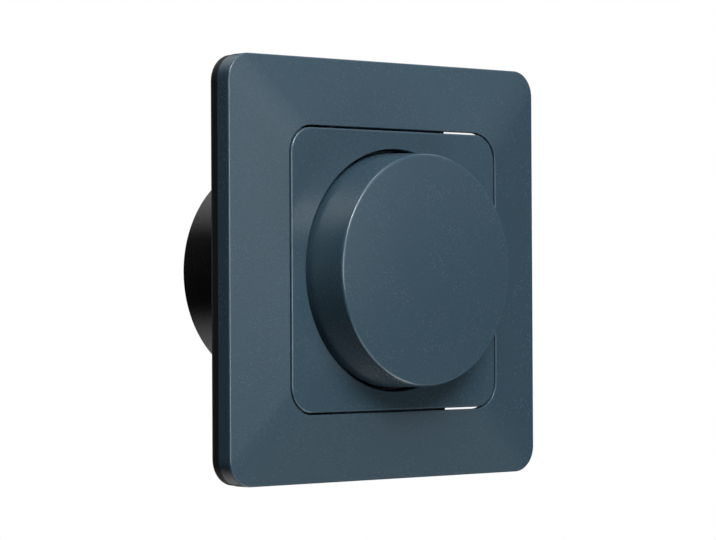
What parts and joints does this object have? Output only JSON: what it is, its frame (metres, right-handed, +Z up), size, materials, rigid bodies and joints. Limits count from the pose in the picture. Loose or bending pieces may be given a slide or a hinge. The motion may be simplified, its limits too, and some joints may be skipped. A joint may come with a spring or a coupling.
{
  "type": "wall dimmer switch",
  "caption": "Square wall dimmer with a sloping cover frame, flat centre plate, push and turn knob, mounting plate and round wall-box insert.",
  "frame": {"origin": "centre of the wall plane, on the knob's axis, between the box screw slots", "axes": "+Z up, +Y into the wall, +X to the right as the knob is faced"},
  "size_m": [0.0826, 0.0488, 0.0826],
  "materials": {
    "cover_plastic": "fine satin moulded plastic",
    "black_plastic": "satin moulded plastic",
    "inner_plastic": "moulded plastic",
    "film_yellow": "moulded box",
    "steel": "zinc plated",
    "zinc": "die cast",
    "brass": "bright",
    "wafer_brown": "pressed board",
    "board_green": "coated board",
    "chip_black": "moulded package",
    "aluminium": "rolled",
    "ferrite": "pressed and fired",
    "copper_wire": "enamelled"
  },
  "bodies": {
    "base": {"cover_frame": "cover_plastic", "centre_plate": "cover_plastic", "mounting_plate": "black_plastic", "housing": "black_plastic", "terminal_block": "black_plastic", "pot_case": "inner_plastic", "pot_base": "inner_plastic", "fuse": "inner_plastic", "suppression_capacitor": "film_yellow", "fixing_nut": "steel", "lock_washer": "steel", "housing_screws": "steel", "return_spring": "steel", "terminal_screws": "steel", "pot_bush": "zinc", "clamp_cages": "brass", "pot_pins": "brass", "resistance_wafer": "wafer_brown", "circuit_board": "board_green", "power_transistors": "chip_black", "heat_spreader": "aluminium", "smoothing_capacitor": "aluminium", "choke_core": "ferrite", "choke_winding": "copper_wire"},
    "plunger": {"switch_plunger": "inner_plastic", "bridge_contact": "brass"},
    "rotor": {"wiper_rotor": "inner_plastic", "wiper_contact": "brass"},
    "knob": {"knob": "cover_plastic", "knob_clip": "steel", "shaft": "zinc"}
  },
  "joints": [
    {"name": "push", "type": "slide", "parent": "base", "child": "plunger", "axis": [0, 1, 0], "range_m": [0, 0.0012], "stiffness_N_per_m": 1500, "springref_m": -0.0012, "deforming": ["return_spring"]},
    {"name": "knob_turn", "type": "hinge", "parent": "plunger", "child": "knob", "pos_m": [0, 0, 0], "axis": [0, 1, 0], "range_deg": [-150, 150]},
    {"name": "rotor_turn", "type": "hinge", "parent": "base", "child": "rotor", "pos_m": [0, 0, 0], "axis": [0, 1, 0], "range_deg": [-150, 150]}
  ],
  "couplings": [
    {"joint": "rotor_turn", "follows": "knob_turn", "ratio": 1}
  ]
}
